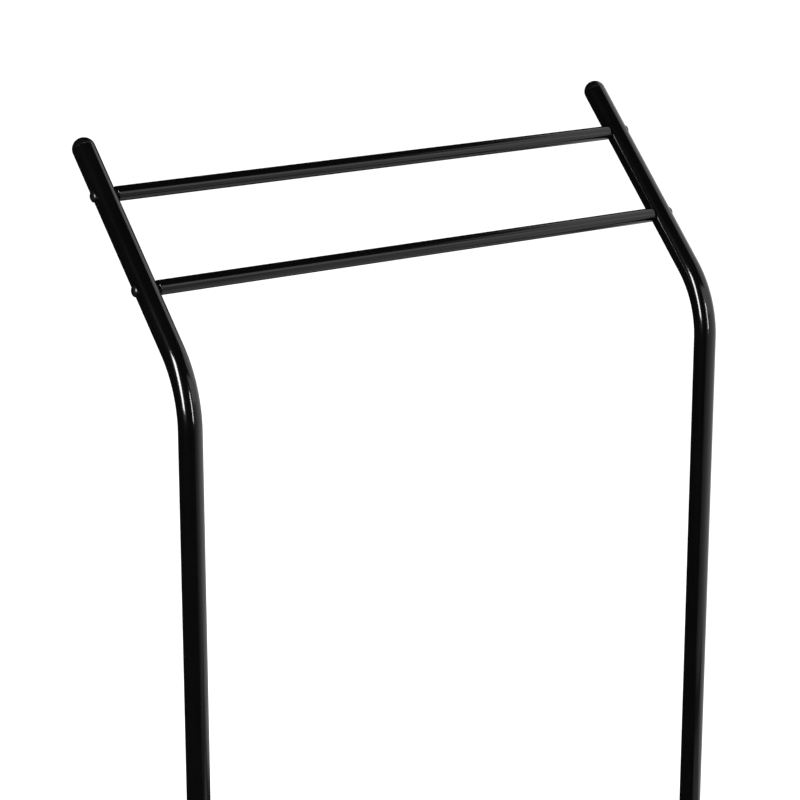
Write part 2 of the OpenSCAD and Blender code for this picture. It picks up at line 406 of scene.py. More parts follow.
def tube_outline(
    outer: float, wall: float, length: float, lip: float, stations: Sequence[float] = ()
) -> Outline:
    """Outline an open tube that stands on height zero.

    Args:
        outer: Outer radius.
        wall: Wall thickness.
        length: Length along the axis.
        lip: Rounding of the four edges.
        stations: Heights, in rising order, that need a ring of their own.

    Returns:
        The closed outline.
    """
    inner = outer - wall
    up = [(inner, s) for s in stations]
    down = [(outer, s) for s in reversed(stations)]
    corners = [(inner, 0), *up, (inner, length), (outer, length), *down, (outer, 0)]
    flat = [0.0] * len(stations)
    return soften(corners, [lip, *flat, lip, lip, *flat, lip], steps=3)


def rolled_tube_outline(outer: float, wall: float, length: float, roll: float) -> Outline:
    """Outline a tube whose two ends are rolled inwards.

    Args:
        outer: Outer radius.
        wall: Wall thickness.
        length: Length along the axis.
        roll: Outer radius of the rolled edge.

    Returns:
        The closed outline.
    """
    bore = outer - wall
    mouth = outer - roll
    corners = [
        (bore, wall),
        (bore, length - wall),
        (mouth, length - wall),
        (mouth, length),
        (outer, length),
        (outer, 0),
        (mouth, 0),
        (mouth, wall),
    ]
    inside = roll - wall
    return soften(corners, [inside, inside, 0, 0, roll, roll, 0, 0], steps=6)


def arc(radius: float, start: float, end: float, steps: int) -> Outline:
    """Return an arc about the origin, between two angles from the radius axis in radians."""
    angles = [start + (end - start) * i / steps for i in range(steps + 1)]
    return [(radius * math.cos(a), radius * math.sin(a)) for a in angles]


# ---- meshes ----


def mesh_object(name: str, mesh: Mesh) -> Piece:
    """Link a new object that holds a mesh.

    Args:
        name: The object's name.
        mesh: Its mesh.

    Returns:
        The object.
    """
    obj = bpy.data.objects.new(name, mesh)
    bpy.context.scene.collection.objects.link(obj)
    return obj


def line_mesh(points: Sequence[tuple[float, float, float]], closed: bool = True) -> Mesh:
    """Join points in a line.

    Args:
        points: The points in their order.
        closed: Whether the last point joins the first.

    Returns:
        A mesh of points and edges.
    """
    count = len(points)
    edges = [(i, (i + 1) % count) for i in range(count if closed else count - 1)]
    mesh = bpy.data.meshes.new("line")
    mesh.from_pydata(points, edges, [])
    return mesh


def shade(mesh: Mesh) -> None:
    """Shade a mesh smooth, with its real edges left crisp."""
    mesh.shade_smooth()
    mesh.set_sharp_from_angle(angle=CREASE_ANGLE)


@dataclass
class NodeShape:
    """A Geometry Nodes tree under construction, with its named inputs.

    Attributes:
        name: The tree's name.
        sockets: Input name to its kind, such as "Float" or "Material".
    """

    name: str
    sockets: dict[str, str]

    def __post_init__(self) -> None:
        """Make the empty tree and its interface."""
        self.tree = bpy.data.node_groups.new(self.name, "GeometryNodeTree")
        face = self.tree.interface
        face.new_socket("Geometry", in_out="INPUT", socket_type="NodeSocketGeometry")
        self.ids = {
            name: face.new_socket(name, in_out="INPUT", socket_type=f"NodeSocket{kind}").identifier
            for name, kind in {**self.sockets, "Finish": "Material"}.items()
        }
        face.new_socket("Geometry", in_out="OUTPUT", socket_type="NodeSocketGeometry")
        self.given = add_node(self.tree, "NodeGroupInput").outputs

    def add(self, kind: str, inputs: Inputs | None = None, **settings: object) -> bpy.types.NodeOutputs:
        """Add a node to the tree and return its outputs."""
        return add_node(self.tree, kind, inputs, **settings).outputs

    def close(self, shape: Socket) -> "NodeShape":
        """End the tree with real, dressed geometry.

        Args:
            shape: The output that ends the tree.

        Returns:
            This tree.
        """
        real = self.add("GeometryNodeRealizeInstances", {"Geometry": shape})
        dressed = self.add(
            "GeometryNodeSetMaterial", {"Geometry": real["Geometry"], "Material": self.given["Finish"]}
        )
        self.add("NodeGroupOutput", {"Geometry": dressed["Geometry"]})
        return self

    def make(self, base: Mesh, finish: Finish, values: dict[str, object]) -> Mesh:
        """Run the tree on a base mesh.

        Args:
            base: The outline, path or points that the tree starts from.
            finish: The finish of the result.
            values: Input name to its value.

        Returns:
            A plain mesh with no modifier.
        """
        obj = mesh_object(f"{self.name}_base", base)
        modifier = obj.modifiers.new(self.name, "NODES")
        modifier.node_group = self.tree
        for name, value in {**values, "Finish": finish.material()}.items():
            modifier[self.ids[name]] = value
        graph = bpy.context.evaluated_depsgraph_get()
        mesh = bpy.data.meshes.new_from_object(obj.evaluated_get(graph), depsgraph=graph)
        bpy.data.objects.remove(obj)
        shade(mesh)
        return mesh


def turning() -> NodeShape:
    """Build the tree that turns an outline into a round part, and may bend it towards +Y.

    Returns:
        The tree, whose base is the outline.
    """
    shape = NodeShape(
        "turned_part",
        {"Hub": "Float", "Segments": "Int", "Bend Start": "Float", "Bend Radius": "Float", "Bend": "Float"},
    )
    given = shape.given
    outline = shape.add("GeometryNodeMeshToCurve", {"Mesh": given["Geometry"]})
    hub = shape.add(
        "GeometryNodeCurvePrimitiveCircle", {"Resolution": given["Segments"], "Radius": given["Hub"]}
    )
    skin = shape.add("GeometryNodeCurveToMesh", {"Curve": hub["Curve"], "Profile Curve": outline["Curve"]})
    joined = shape.add("GeometryNodeMergeByDistance", {"Geometry": skin["Mesh"], "Distance": MERGE_DISTANCE})
    # each ring above the start turns about the bend's centre by its own share of the angle
    place = shape.add("GeometryNodeInputPosition")
    axes = shape.add("ShaderNodeSeparateXYZ", {"Vector": place["Position"]})
    along = shape.add("ShaderNodeMath", {0: axes["Z"], 1: given["Bend Start"]}, operation="SUBTRACT")
    share = shape.add("ShaderNodeMath", {0: along["Value"], 1: given["Bend Radius"]}, operation="DIVIDE")
    angle = shape.add("ShaderNodeClamp", {"Value": share["Value"], "Min": 0.0, "Max": given["Bend"]})
    used = shape.add("ShaderNodeMath", {0: angle["Result"], 1: given["Bend Radius"]}, operation="MULTIPLY")
    left = shape.add("ShaderNodeMath", {0: axes["Z"], 1: used["Value"]}, operation="SUBTRACT")
    straight = shape.add("ShaderNodeCombineXYZ", {"X": axes["X"], "Y": axes["Y"], "Z": left["Value"]})
    centre = shape.add("ShaderNodeCombineXYZ", {"Y": given["Bend Radius"], "Z": given["Bend Start"]})
    back = shape.add("ShaderNodeMath", {0: angle["Result"], 1: -1.0}, operation="MULTIPLY")
    bent = shape.add(
        "ShaderNodeVectorRotate",
        {"Vector": straight["Vector"], "Center": centre["Vector"], "Angle": back["Value"]},
        rotation_type="X_AXIS",
    )
    moved = shape.add("GeometryNodeSetPosition", {"Geometry": joined["Geometry"], "Position": bent["Vector"]})
    return shape.close(moved["Geometry"])


def fastener_pattern() -> NodeShape:
    """Build the tree that sets one screw on each point, facing as the point says.

    Returns:
        The tree, whose base is the points.
    """
    shape = NodeShape("fastener_pattern", {"Fastener": "Object", "Seed": "Int"})
    given = shape.given
    screw = shape.add("GeometryNodeObjectInfo", {"Object": given["Fastener"]})
    facing = shape.add("GeometryNodeInputNamedAttribute", {"Name": "facing"}, data_type="FLOAT_VECTOR")
    aim = shape.add("FunctionNodeAlignRotationToVector", {"Vector": facing["Attribute"]}, axis="Z")
    # a driver leaves each socket at its own angle
    turn = shape.add("FunctionNodeRandomValue", {2: 0.0, 3: math.pi / 3, "Seed": given["Seed"]})
    spin = shape.add("FunctionNodeAxisAngleToRotation", {"Axis": UP, "Angle": turn[1]})
    pose = shape.add(
        "FunctionNodeRotateRotation",
        {"Rotation": aim["Rotation"], "Rotate By": spin["Rotation"]},
        rotation_space="LOCAL",
    )
    placed = shape.add(
        "GeometryNodeInstanceOnPoints",
        {"Points": given["Geometry"], "Instance": screw["Geometry"], "Rotation": pose["Rotation"]},
    )
    return shape.close(placed["Instances"])


def weld_bead() -> NodeShape:
    """Build the tree that lays a rippled bead along a path.

    Returns:
        The tree, whose base is the path.
    """
    shape = NodeShape("weld_bead", {"Throat": "Float", "Ripple": "Float", "Depth": "Float"})
    given = shape.given
    steps_per_ripple = 5
    sides = 12
    path = shape.add("GeometryNodeMeshToCurve", {"Mesh": given["Geometry"]})
    step = shape.add(
        "ShaderNodeMath", {0: given["Ripple"], 1: 1 / steps_per_ripple}, operation="MULTIPLY"
    )
    even = shape.add(
        "GeometryNodeResampleCurve", {"Curve": path["Curve"], "Length": step["Value"]}, mode="LENGTH"
    )
    section = shape.add(
        "GeometryNodeCurvePrimitiveCircle", {"Resolution": sides, "Radius": given["Throat"]}
    )
    along = shape.add("GeometryNodeSplineParameter")
    count = shape.add("ShaderNodeMath", {0: along["Length"], 1: given["Ripple"]}, operation="DIVIDE")
    phase = shape.add("ShaderNodeMath", {0: count["Value"], 1: math.tau}, operation="MULTIPLY")
    wave = shape.add("ShaderNodeMath", {0: phase["Value"]}, operation="SINE")
    swell = shape.add(
        "ShaderNodeMath", {0: wave["Value"], 1: given["Depth"], 2: 1.0}, operation="MULTIPLY_ADD"
    )
    bead = shape.add(
        "GeometryNodeCurveToMesh",
        {"Curve": even["Curve"], "Profile Curve": section["Curve"], "Scale": swell["Value"]},
    )
    return shape.close(bead["Mesh"])


def screw_thread() -> NodeShape:
    """Build the tree that winds a right-hand thread up the Z axis, around the given core.

    Returns:
        The tree, whose base is the core.
    """
    sizes = ("Pitch", "Root", "Crest", "Start", "Length")
    steps_per_turn = 24
    shape = NodeShape("screw_thread", dict.fromkeys(sizes, "Float"))
    given = shape.given
    turns = shape.add("ShaderNodeMath", {0: given["Length"], 1: given["Pitch"]}, operation="DIVIDE")
    helix = shape.add(
        "GeometryNodeCurveSpiral",
        {
            "Resolution": steps_per_turn,
            "Rotations": turns["Value"],
            "Start Radius": given["Root"],
            "End Radius": given["Root"],
            "Height": given["Length"],
            "Reverse": True,
        },
    )
    height = shape.add("ShaderNodeMath", {0: given["Crest"], 1: given["Root"]}, operation="SUBTRACT")
    # a circle of four points is the ridge's sharp section
    ridge = shape.add("GeometryNodeCurvePrimitiveCircle", {"Resolution": 4, "Radius": height["Value"]})
    wound = shape.add(
        "GeometryNodeCurveToMesh",
        {"Curve": helix["Curve"], "Profile Curve": ridge["Curve"], "Fill Caps": True},
    )
    lift = shape.add("ShaderNodeCombineXYZ", {"Z": given["Start"]})
    raised = shape.add("GeometryNodeTransform", {"Geometry": wound["Mesh"], "Translation": lift["Vector"]})
    both = add_node(shape.tree, "GeometryNodeJoinGeometry", {"Geometry": raised["Geometry"]})
    shape.tree.links.new(given["Geometry"], both.inputs["Geometry"])
    return shape.close(both.outputs["Geometry"])


class Workshop:
    """The node trees that the sub-assemblies share, and what they make."""

    # radius of the guide circle that carries an outline round the axis
    HUB = 0.05

    def __init__(self) -> None:
        """Build each tree once."""
        self.turning = turning()
        self.fasteners = fastener_pattern()
        self.welding = weld_bead()
        self.threading = screw_thread()

    def turn(
        self,
        outline: Outline,
        finish: Finish,
        closed: bool = True,
        bend: tuple[float, float, float] = (0.0, 1.0, 0.0),
    ) -> Mesh:
        """Turn an outline about the Z axis.

        Args:
            outline: The (radius, height) points.
            finish: The finish of the part.
            closed: Whether the outline closes; an open one starts and ends on the axis.
            bend: Height where a bend starts, its radius, and its angle in radians.

        Returns:
            The part's mesh.
        """
        base = line_mesh([(r - self.HUB, -z, 0) for r, z in outline], closed)
        values = {"Hub": self.HUB, "Segments": ROUND_SEGMENTS}
        values.update(zip(("Bend Start", "Bend Radius", "Bend"), bend))
        return self.turning.make(base, finish, values)


def loft(rings: Sequence[Sequence[Vector]]) -> Mesh:
    """Join rings of points, from the first to the last, and close both ends.

    Args:
        rings: Rings of equal length, counter-clockwise seen from the end they rise towards.

    Returns:
        A closed mesh whose faces point outwards when the rings rise.
    """
    count = len(rings[0])
    points = [p for ring in rings for p in ring]
    faces = [tuple(reversed(range(count)))]
    for level in range(len(rings) - 1):
        low = level * count
        for i in range(count):
            j = (i + 1) % count
            faces.append((low + i, low + j, low + count + j, low + count + i))
    faces.append(tuple(range(len(points) - count, len(points))))
    mesh = bpy.data.meshes.new("loft")
    mesh.from_pydata(points, [], faces)
    return mesh


def ring(radius: Callable[[float], float], height: Callable[[float], float]) -> list[Vector]:
    """Make one ring for a loft.

    Args:
        radius: Radius by angle.
        height: Height by radius.

    Returns:
        Its points, counter-clockwise seen from above.
    """
    made = []
    for i in range(RING_POINTS):
        angle = math.tau * i / RING_POINTS
        r = radius(angle)
        made.append(Vector((r * math.cos(angle), r * math.sin(angle), height(r))))
    return made


def circle(radius: float, height: float) -> list[Vector]:
    """Return a round, level ring."""
    return ring(lambda angle: radius, lambda r: height)


def hexagon(flats: float, grow: float = 0.0, limit: float = math.inf) -> Callable[[float], float]:
    """Return the radius of a hexagon by angle.

    Args:
        flats: Distance across the flats.
        grow: How far the outline is moved outwards.
        limit: A circle that cuts the corners.

    Returns:
        A function from the angle to the radius.
    """
    sixth = math.pi / 3

    def radius(angle: float) -> float:
        """Return the radius at one angle."""
        from_flat = (angle % sixth) - sixth / 2
        return min((flats / 2 + grow) / math.cos(from_flat), limit)

    return radius


def dress(
    name: str, mesh: Mesh, finish: Finish, body: str, nodes: Sequence[str] = ()
) -> Piece:
    """Finish a piece: name it, dress it and tie it to its body.

    Args:
        name: The piece's name.
        mesh: Its mesh, already in place.
        finish: Its finish.
        body: The CAD body that it moves with.
        nodes: CAD nodes that it stands for.

    Returns:
        The piece's object.
    """
    obj = mesh_object(name, mesh)
    mesh.materials.clear()
    mesh.materials.append(finish.material())
    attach(obj, body)
    if nodes:
        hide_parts(*nodes)
    return obj


def dress_node(name: str, finish: Finish) -> Piece:
    """Give a CAD node its finish.

    Args:
        name: The node's name.
        finish: Its finish.

    Returns:
        The node's object.
    """
    obj = frame["nodes"][name]
    obj.data.materials.clear()
    obj.data.materials.append(finish.material())
    return obj


def centre(node: str) -> Vector:
    """Return the middle of a CAD node's box."""
    low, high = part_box(node)
    return (low + high) / 2


# ---- centre lines ----


@dataclass(frozen=True)
class CentreLines:
    """Centre lines, radii and heights that every sub-assembly shares.

    Attributes:
        half_width: X of the right upright's axis.
        upright_y: Y of both uprights' axes.
        tube_r: Radius of the upright and foot tubes.
        rail_r: Radius of the cross rails.
        stub_top: Height where an upright leaves its foot.
        splice: Height of the seam between the halves of an upright.
        foot_z: Height of the feet's axes.
        lean: Angle between the lean and the vertical.
        corner_z: Height where the lean's line meets the upright's.
        lean_len: Length of the lean, from that corner to the tube's end.
    """

    half_width: float
    upright_y: float
    tube_r: float
    rail_r: float
    stub_top: float
    splice: float
    foot_z: float
    lean: float
    corner_z: float
    lean_len: float

    @classmethod
    def from_frame(cls) -> "CentreLines":
        """Read the centre lines from the CAD boxes.

        Returns:
            The centre lines.
        """
        low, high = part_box("right_lower_upright")
        middle = (low + high) / 2
        lower = centre("lower_hanging_rail")
        upper = centre("upper_hanging_rail")
        rail_low, rail_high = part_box("upper_hanging_rail")
        lean = math.atan2(upper.y - lower.y, upper.z - lower.z)
        corner_z = lower.z - (lower.y - middle.y) / math.tan(lean)
        tube_r = (high.x - low.x) / 2
        top = CAD_BOX[1][2] - tube_r
        return cls(
            half_width=middle.x,
            upright_y=middle.y,
            tube_r=tube_r,
            rail_r=(rail_high.z - rail_low.z) / 2,
            stub_top=low.z,
            splice=high.z,
            foot_z=centre("front_base_rail").z,
            lean=lean,
            corner_z=corner_z,
            lean_len=(top - corner_z) / math.cos(lean),
        )

    def at_upright(self, side: Side, height: float = 0.0) -> Matrix:
        """Return the placing of a part on an upright's vertical axis."""
        return Matrix.Translation((side.value * self.half_width, self.upright_y, height))

    def rail_distance(self, node: str) -> float:
        """Return how far up the lean a hanging rail crosses it, from the corner."""
        return (centre(node).y - self.upright_y) / math.sin(self.lean)

    def on_lean(self, side: Side, distance: float) -> Matrix:
        """Return the placing of a part on a lean's axis, that far up from the corner."""
        turned = Matrix.Rotation(-self.lean, 4, "X") @ Matrix.Translation((0, 0, distance))
        return self.at_upright(side, self.corner_z) @ turned


# ---- sub-assemblies ----


@dataclass
class SubAssembly(ABC):
    """One group of pieces: its sizes, and how they are built and dressed."""

    lines: CentreLines
    shop: Workshop

    @abstractmethod
    def build(self) -> Iterator[Piece]:
        """Build and dress each piece.

        Returns:
            The pieces, one by one.
        """


@dataclass
class Uprights(SubAssembly):
    """Two tube uprights, each in two halves, with a bend near the top of the upper half.

    Attributes:
        wall: Wall of the tube.
        lip: Rounding of the sawn and tumbled ends.
        bend_radius: Radius of the bend at the tube's axis.
        bend_rings: Rings along the bend.
        hole_r: Radius of the drillings.
        screw_off: Distance from a seam to its screws.
    """

    wall: float = 1.2 * MM
    lip: float = 0.45 * MM
    bend_radius: float = 110 * MM
    bend_rings: int = 36
    hole_r: float = 3.2 * MM
    screw_off: float = 25 * MM

    def build(self) -> Iterator[Piece]:
        """Build both halves of both uprights, and dress the sleeves inside them.

        Returns:
            The pieces, one by one.
        """
        for side in Side:
            yield self.upper(side)
            yield self.lower(side)
            for sleeve in ("splice_sleeve", "foot_sleeve"):
                yield dress_node(f"{side.word}_{sleeve}", ZINC)

    def upper(self, side: Side) -> Piece:
        """Build one bent upper half, with its drillings.

        Args:
            side: The side it stands on.

        Returns:
            The tube.
        """
        lines = self.lines
        setback = self.bend_radius * math.tan(lines.lean / 2)
        start = lines.corner_z - setback - lines.splice
        arc_len = self.bend_radius * lines.lean
        length = start + arc_len + lines.lean_len - setback
        rails = [lines.rail_distance(node) for node in ("lower_hanging_rail", "upper_hanging_rail")]
        margin = 2 * self.hole_r
        stations = [self.screw_off - margin, self.screw_off + margin]
        stations += [start + arc_len * i / self.bend_rings for i in range(self.bend_rings + 1)]
        for distance in rails:
            height = start + arc_len - setback + distance
            stations += [height - margin, height + margin]
        outline = tube_outline(lines.tube_r, self.wall, length, self.lip, stations)
        mesh = self.shop.turn(outline, COAT, bend=(start, self.bend_radius, lines.lean))
        mesh.transform(lines.at_upright(side, lines.splice))
        across = Matrix.Rotation(math.pi / 2, 4, "Y")
        places = [lines.on_lean(side, distance).translation for distance in rails]
        cuts = [Matrix.Translation(place) @ across for place in places]
        cuts.append(self.rear_cut(side, lines.splice + self.screw_off))
        self.drill(mesh, cuts)
        return dress(f"{side.word}_upper_tube", mesh, COAT, "frame", [f"{side.word}_upper_upright"])

    def lower(self, side: Side) -> Piece:
        """Build one straight lower half, with its drillings.

        Args:
            side: The side it stands on.

        Returns:
            The tube.
        """
        lines = self.lines
        length = lines.splice - lines.stub_top
        margin = 2 * self.hole_r
        offs = (self.screw_off, length - self.screw_off)
        stations = [s for off in offs for s in (off - margin, off + margin)]
        outline = tube_outline(lines.tube_r, self.wall, length, self.lip, stations)
        mesh = self.shop.turn(outline, COAT)
        mesh.transform(lines.at_upright(side, lines.stub_top))
        self.drill(mesh, [self.rear_cut(side, lines.stub_top + off) for off in offs])
        return dress(f"{side.word}_lower_tube", mesh, COAT, "frame", [f"{side.word}_lower_upright"])

    def rear_cut(self, side: Side, height: float) -> Matrix:
        """Return the placing of a drilling that opens only the rear wall."""
        middle = self.lines.at_upright(side, height) @ Matrix.Translation((0, 2 * self.lines.tube_r, 0))
        return middle @ Matrix.Rotation(math.pi / 2, 4, "X")

    def drill(self, mesh: Mesh, cuts: Sequence[Matrix]) -> None:
        """Drill a mesh with round holes.

        Args:
            mesh: The tube, changed in place.
            cuts: Placings of the drill, which runs two tube diameters along its own Z.
        """
        reach = 2 * self.lines.tube_r
        obj = mesh_object("blank", mesh)
        drills = []
        for placing in cuts:
            bit = loft([circle(self.hole_r, -reach), circle(self.hole_r, reach)])
            bit.transform(placing)
            drills.append(mesh_object("drill", bit))
            modifier = obj.modifiers.new("hole", "BOOLEAN")
            modifier.operation = "DIFFERENCE"
            modifier.solver = "EXACT"
            modifier.object = drills[-1]
        graph = bpy.context.evaluated_depsgraph_get()
        cut = bpy.data.meshes.new_from_object(obj.evaluated_get(graph), depsgraph=graph)
        for used in (obj, *drills):
            bpy.data.objects.remove(used)
        replace_geometry(mesh, cut)
        shade(mesh)


def replace_geometry(mesh: Mesh, source: Mesh) -> None:
    """Give a mesh the points and faces of another, without the slivers that a cut leaves.

    Args:
        mesh: The mesh that is filled.
        source: The mesh that was cut.
    """
    work = bmesh.new()
    work.from_mesh(source)
    bmesh.ops.remove_doubles(work, verts=work.verts, dist=SLIVER_WIDTH)
    bmesh.ops.triangulate(work, faces=work.faces, quad_method="BEAUTY", ngon_method="EAR_CLIP")
    bmesh.ops.dissolve_degenerate(work, edges=work.edges, dist=SLIVER_WIDTH)
    pairs: dict[frozenset[int], list[bmesh.types.BMFace]] = {}
    for face in work.faces:
        pairs.setdefault(frozenset(v.index for v in face.verts), []).append(face)
    folded = [face for same in pairs.values() if len(same) > 1 for face in same]
    bmesh.ops.delete(work, geom=folded, context="FACES")
    work.to_mesh(mesh)
    work.free()


@dataclass
class Feet(SubAssembly):
    """Two T-shaped feet: a foot tube with a stub coped and welded upright on it.

    Attributes:
        throat: Radius of the weld bead.
        ripple: Distance between the bead's ripples.
        ripple_depth: Their depth, as a share of the bead.
        path_points: Points on each bead's path.
    """

    throat: float = 1.9 * MM
    ripple: float = 2.2 * MM
    ripple_depth: float = 0.13
    path_points: int = 96

    def build(self) -> Iterator[Piece]:
        """Dress both feet and their bushes, and weld both stubs.

        Returns:
            The pieces, one by one.
        """
        for side in Side:
            yield dress_node(f"{side.word}_foot", COAT)
            yield self.weld(side)
        yield dress_node("levelling_bushes", ZINC)

    def weld(self, side: Side) -> Piece:
        """Lay the bead around one stub, where two equal tubes cross.

        Args:
            side: The side it stands on.

        Returns:
            The bead.
        """
        r = self.lines.tube_r
        angles = [math.tau * i / self.path_points for i in range(self.path_points)]
        points = [(r * math.cos(a), r * math.sin(a), r * abs(math.sin(a))) for a in angles]
        values = {"Throat": self.throat, "Ripple": self.ripple, "Depth": self.ripple_depth}
        mesh = self.shop.welding.make(line_mesh(points), COAT, values)
        mesh.transform(self.lines.at_upright(side, self.lines.foot_z))
        return dress(f"{side.word}_foot_weld", mesh, COAT, "frame")


@dataclass
class CrossRails(SubAssembly):
    """Four cross rails, rolled in at both ends where they meet the tubes.

    Attributes:
        wall: Wall of the rails.
        roll: Outer radius of the rolled ends.
    """

    wall: float = 1.0 * MM
    roll: float = 2.0 * MM

    NODES = ("upper_hanging_rail", "lower_hanging_rail", "front_base_rail", "rear_base_rail")

    def build(self) -> Iterator[Piece]:
        """Build the four rails, and dress the inserts inside them.

        Returns:
            The pieces, one by one.
        """
        for node in self.NODES:
            low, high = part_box(node)
            outline = rolled_tube_outline((high.z - low.z) / 2, self.wall, high.x - low.x, self.roll)
            mesh = self.shop.turn(outline, COAT)
            middle = (low + high) / 2
            start = Matrix.Translation((low.x, middle.y, middle.z))
            mesh.transform(start @ Matrix.Rotation(math.pi / 2, 4, "Y"))
            yield dress(node.replace("_rail", "_tube"), mesh, COAT, "frame", [node])
        for node in ("hanging_rail_inserts", "base_rail_inserts"):
            yield dress_node(node, ZINC)


@dataclass
class Fasteners(SubAssembly):
    """Button-head socket bolts and screws, all of one head.

    Attributes:
        head_d: Diameter of the head.
        head_h: Height of the head.
        rim_h: Height of the straight rim under the dome.
        grip: Length of a bolt's thread beyond the tube that it passes.
        flats: Distance across the socket's flats.
        depth: Depth of the socket.
        point_r: Radius of the mark that the punch leaves at its bottom.
        shank_d: Diameter of the shank.
        edge: Rounding of the head's edges.
        tip: Bevel at the shank's end.
        seed: Start of the random turns of the sockets.
    """

    head_d: float = 12.4 * MM
    head_h: float = 3.6 * MM
    rim_h: float = 1.0 * MM
    grip: float = 12.0 * MM
    flats: float = 4.0 * MM
    depth: float = 2.2 * MM
    point_r: float = 0.8 * MM
    shank_d: float = 6.0 * MM
    edge: float = 0.3 * MM
    tip: float = 0.8 * MM
    seed: int = 7

    def build(self) -> Iterator[Piece]:
        """Build the four groups of fasteners.

        Returns:
            The pieces, one by one.
        """
        places = {
            "hanging_rail_bolts": self.through("upper_hanging_rail", "lower_hanging_rail"),
            "base_rail_bolts": self.through("front_base_rail", "rear_base_rail"),
            "splice_screws": self.rear("splice_screws"),
            "foot_sleeve_screws": self.rear("foot_sleeve_screws"),
        }
        for seed, (node, spots) in enumerate(places.items(), start=self.seed):
            name = node.rpartition("_")[0] + "_button_heads"
            yield self.group(node, name, spots, seed)

    def through(self, *rails: str) -> list[Spot]:
        """Find the bolts at both ends of some rails.

        Args:
            *rails: The rails' CAD nodes.

        Returns:
            Place and facing of each.
        """
        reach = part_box("hanging_rail_bolts")[1].x - self.head_h
        return [
            (Vector((side.value * reach, axis.y, axis.z)), Vector((side.value, 0, 0)))
            for axis in map(centre, rails)
            for side in Side
        ]

    def rear(self, node: str) -> list[Spot]:
        """Find the screws behind both uprights at one seam.

        Args:
            node: Their CAD node.

        Returns:
            Place and facing of each.
        """
        low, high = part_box(node)
        heights = (low.z + self.head_d / 2, high.z - self.head_d / 2)
        return [
            (Vector((side.value * self.lines.half_width, high.y - self.head_h, z)), Vector((0, 1, 0)))
            for side in Side
            for z in heights
        ]

    def group(self, node: str, name: str, places: Sequence[Spot], seed: int) -> Piece:
        """Set one fastener on each place.

        Args:
            node: The CAD node that the group stands for.
            name: The piece's name.
            places: Place and facing of each head's underside.
            seed: Start of the sockets' random turns.

        Returns:
            The group's object.
        """
        low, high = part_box(node)
        shank = self.shank_length(node, high - low)
        screw = mesh_object("screw", self.screw(shank))
        points = bpy.data.meshes.new("places")
        points.from_pydata([p for p, _ in places], [], [])
        facing = points.attributes.new("facing", "FLOAT_VECTOR", "POINT")
        for i, (_, direction) in enumerate(places):
            facing.data[i].vector = direction
        mesh = self.shop.fasteners.make(points, BLACK_STEEL, {"Fastener": screw, "Seed": seed})
        bpy.data.objects.remove(screw)
        return dress(name, mesh, BLACK_STEEL, "frame", [node])

    def shank_length(self, node: str, size: Vector) -> float:
        """Find the length under the head.

        Args:
            node: The group's CAD node.
            size: The size of its box, which spans one screw along Y behind the uprights.

        Returns:
            The length of the shank.
        """
        if node.endswith("screws"):
            return size.y - self.head_h
        return 2 * self.lines.tube_r + self.grip

    def screw(self, shank: float) -> Mesh:
        """Build one fastener with the underside of its head at the origin.

        Args:
            shank: Length of its shank.

        Returns:
            Its mesh.
        """
        dome_h = self.head_h - self.rim_h
        outer = self.head_d / 2
        dome_r = (outer**2 + dome_h**2) / (2 * dome_h)

        def on_dome(r: float) -> float:
            """Return the dome's height at a radius."""
            return self.head_h - dome_r + math.sqrt(dome_r**2 - r**2)

        floor = self.head_h - self.depth
        shank_r = self.shank_d / 2
        mouth = self.flats / 2 + 2 * self.edge
        steps = 6
        dome = [mouth + (outer - self.edge - mouth) * (i + 1) / steps for i in range(steps)]
        rings = [
            circle(shank_r - self.tip, -shank),
            circle(shank_r, self.tip - shank),
            circle(shank_r, 0),
            circle(outer - self.edge, 0),
            circle(outer, self.edge),
            circle(outer, self.rim_h - self.edge / 2),
            *(circle(r, on_dome(r)) for r in reversed(dome)),
            ring(hexagon(self.flats, self.edge), on_dome),
            ring(hexagon(self.flats), lambda r: on_dome(r) - self.edge),
            ring(hexagon(self.flats), lambda r: floor),
            circle(self.point_r, floor - self.edge),
        ]
        mesh = loft(rings)
        shade(mesh)
        return mesh


